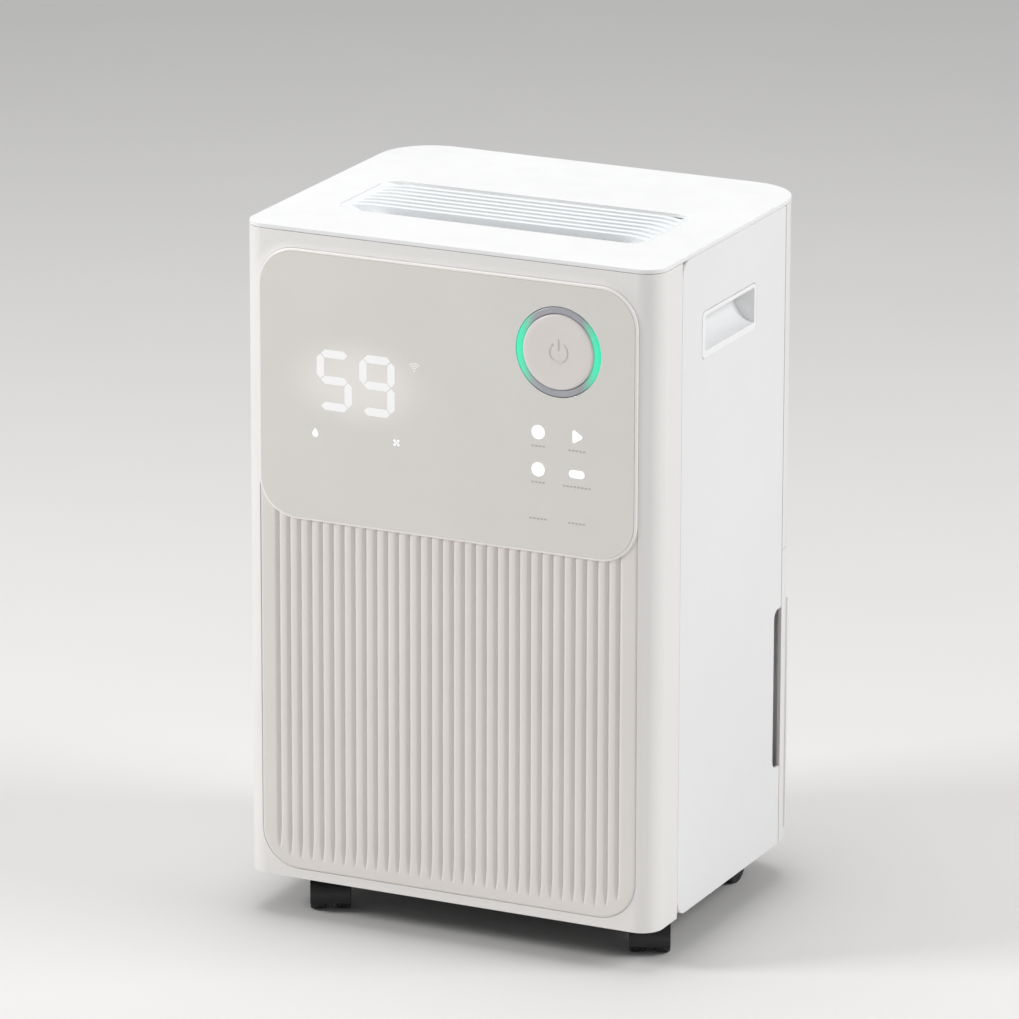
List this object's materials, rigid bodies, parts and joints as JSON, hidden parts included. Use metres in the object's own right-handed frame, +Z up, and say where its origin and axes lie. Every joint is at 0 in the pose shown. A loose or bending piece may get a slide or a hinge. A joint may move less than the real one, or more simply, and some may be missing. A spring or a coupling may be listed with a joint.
{
  "type": "dehumidifier",
  "caption": "Upright portable compressor dehumidifier with a fluted front, touch panel, top louvre, pull-out rear water tank and swivel casters.",
  "frame": {"origin": "on the floor under the middle of the body, at the centre of the bounding box's base", "axes": "+Z up, the front faces -Y, +X is to the right of a person who faces the front"},
  "size_m": [0.3, 0.251, 0.478],
  "materials": {
    "white_plastic": "satin moulded white, very fine spark-eroded texture",
    "fluted_plastic": "satin warm off-white, fine texture",
    "bezel_plastic": "smooth warm off-white",
    "panel_gloss": "glossy greige touch panel",
    "ring_light": "translucent grey light guide, part of it lit green",
    "button_plastic": "satin warm off-white",
    "display_light": "white display light",
    "louvre_plastic": "satin white",
    "dark_plastic": "black moulded",
    "caster_plastic": "black nylon",
    "wheel_plastic": "black nylon tread",
    "tank_plastic": "satin, slightly translucent grey-white",
    "handle_plastic": "satin light grey",
    "float_foam": "blue closed-cell foam",
    "filter_fabric": "woven nylon mesh",
    "black_rubber": "matte",
    "circuit_board": "green solder mask",
    "black_paint": "semi-gloss black enamel",
    "aluminium_fins": "mill finish",
    "copper_pipe": "drawn copper, slightly dulled",
    "steel": "zinc-plated"
  },
  "bodies": {
    "body": {"front_frame": "white_plastic", "fluted_panel": "fluted_plastic", "panel_bezel": "bezel_plastic", "control_panel": "panel_gloss", "button_light_ring": "ring_light", "button_switch": "dark_plastic", "display_board": "circuit_board", "top_cover": "white_plastic", "outlet_grille": "louvre_plastic", "left_side_panel": "white_plastic", "right_side_panel": "white_plastic", "left_handle_cup": "white_plastic", "right_handle_cup": "white_plastic", "rear_panel": "white_plastic", "cord_gland": "black_rubber", "drain_nozzle": "louvre_plastic", "base_tray": "dark_plastic", "bay_partition": "dark_plastic", "level_switch": "dark_plastic", "drip_tray": "louvre_plastic", "evaporator": "aluminium_fins", "condenser": "aluminium_fins", "compressor": "black_paint", "compressor_foot_1": "black_rubber", "compressor_foot_2": "black_rubber", "compressor_foot_3": "black_rubber", "suction_pipe": "copper_pipe", "discharge_pipe": "copper_pipe", "fan_scroll": "louvre_plastic", "fan_motor": "steel", "control_box": "dark_plastic", "run_capacitor": "aluminium_fins"},
    "button": {"power_button": "button_plastic"},
    "fan": {"fan_impeller": "dark_plastic", "motor_shaft": "steel"},
    "filter": {"intake_grille": "white_plastic", "filter_mesh": "filter_fabric"},
    "drain_plug": {"drain_cap": "black_rubber"},
    "tank": {"water_tank": "tank_plastic", "tank_cover": "white_plastic", "tank_lid": "louvre_plastic"},
    "bail": {"tank_handle": "handle_plastic"},
    "float": {"tank_float": "float_foam"},
    "swivel_front_left": {"caster_front_left_fork": "caster_plastic", "caster_front_left_axle": "steel"},
    "wheel_front_left_a": {"caster_front_left_wheel_a": "wheel_plastic"},
    "wheel_front_left_b": {"caster_front_left_wheel_b": "wheel_plastic"},
    "swivel_front_right": {"caster_front_right_fork": "caster_plastic", "caster_front_right_axle": "steel"},
    "wheel_front_right_a": {"caster_front_right_wheel_a": "wheel_plastic"},
    "wheel_front_right_b": {"caster_front_right_wheel_b": "wheel_plastic"},
    "swivel_rear_left": {"caster_rear_left_fork": "caster_plastic", "caster_rear_left_axle": "steel"},
    "wheel_rear_left_a": {"caster_rear_left_wheel_a": "wheel_plastic"},
    "wheel_rear_left_b": {"caster_rear_left_wheel_b": "wheel_plastic"},
    "swivel_rear_right": {"caster_rear_right_fork": "caster_plastic", "caster_rear_right_axle": "steel"},
    "wheel_rear_right_a": {"caster_rear_right_wheel_a": "wheel_plastic"},
    "wheel_rear_right_b": {"caster_rear_right_wheel_b": "wheel_plastic"}
  },
  "joints": [
    {"name": "button_press", "type": "slide", "parent": "body", "child": "button", "axis": [0, 1, 0], "range_m": [0, 0.0015], "stiffness_N_per_m": 400},
    {"name": "fan_spin", "type": "hinge", "parent": "body", "child": "fan", "pos_m": [0, -0.052, 0.352], "axis": [0, 1, 0], "continuous": true},
    {"name": "filter_pull", "type": "slide", "parent": "body", "child": "filter", "axis": [0, 1, 0], "range_m": [0, 0.06]},
    {"name": "drain_cap_pull", "type": "slide", "parent": "body", "child": "drain_plug", "axis": [0, 1, 0], "range_m": [0, 0.03]},
    {"name": "tank_pull", "type": "slide", "parent": "body", "child": "tank", "axis": [0, 1, 0], "range_m": [0, 0.2]},
    {"name": "tank_handle_swing", "type": "hinge", "parent": "tank", "child": "bail", "pos_m": [0, 0.072, 0.209], "axis": [-1, 0, 0], "range_deg": [0, 90]},
    {"name": "float_rise", "type": "hinge", "parent": "tank", "child": "float", "pos_m": [0.107, 0.024, 0.15], "axis": [1, 0, 0], "range_deg": [0, 25]},
    {"name": "swivel_front_left_turn", "type": "hinge", "parent": "body", "child": "swivel_front_left", "pos_m": [-0.1055, -0.084, 0.0285], "axis": [0, 0, 1], "continuous": true},
    {"name": "wheel_front_left_a_roll", "type": "hinge", "parent": "swivel_front_left", "child": "wheel_front_left_a", "pos_m": [-0.10119, -0.09303, 0.0125], "axis": [0.9026, 0.4305, 0], "continuous": true},
    {"name": "wheel_front_left_b_roll", "type": "hinge", "parent": "swivel_front_left", "child": "wheel_front_left_b", "pos_m": [-0.10119, -0.09303, 0.0125], "axis": [0.9026, 0.4305, 0], "continuous": true},
    {"name": "swivel_front_right_turn", "type": "hinge", "parent": "body", "child": "swivel_front_right", "pos_m": [0.123, -0.068, 0.0285], "axis": [0, 0, 1], "continuous": true},
    {"name": "wheel_front_right_a_roll", "type": "hinge", "parent": "swivel_front_right", "child": "wheel_front_right_a", "pos_m": [0.12731, -0.07703, 0.0125], "axis": [0.9026, 0.4305, 0], "continuous": true},
    {"name": "wheel_front_right_b_roll", "type": "hinge", "parent": "swivel_front_right", "child": "wheel_front_right_b", "pos_m": [0.12731, -0.07703, 0.0125], "axis": [0.9026, 0.4305, 0], "continuous": true},
    {"name": "swivel_rear_left_turn", "type": "hinge", "parent": "body", "child": "swivel_rear_left", "pos_m": [-0.112, 0.062, 0.0285], "axis": [0, 0, 1], "continuous": true},
    {"name": "wheel_rear_left_a_roll", "type": "hinge", "parent": "swivel_rear_left", "child": "wheel_rear_left_a", "pos_m": [-0.1214, 0.06542, 0.0125], "axis": [-0.342, -0.9397, 0], "continuous": true},
    {"name": "wheel_rear_left_b_roll", "type": "hinge", "parent": "swivel_rear_left", "child": "wheel_rear_left_b", "pos_m": [-0.1214, 0.06542, 0.0125], "axis": [-0.342, -0.9397, 0], "continuous": true},
    {"name": "swivel_rear_right_turn", "type": "hinge", "parent": "body", "child": "swivel_rear_right", "pos_m": [0.112, 0.062, 0.0285], "axis": [0, 0, 1], "continuous": true},
    {"name": "wheel_rear_right_a_roll", "type": "hinge", "parent": "swivel_rear_right", "child": "wheel_rear_right_a", "pos_m": [0.112, 0.072, 0.0125], "axis": [-1, 0, 0], "continuous": true},
    {"name": "wheel_rear_right_b_roll", "type": "hinge", "parent": "swivel_rear_right", "child": "wheel_rear_right_b", "pos_m": [0.112, 0.072, 0.0125], "axis": [-1, 0, 0], "continuous": true}
  ]
}
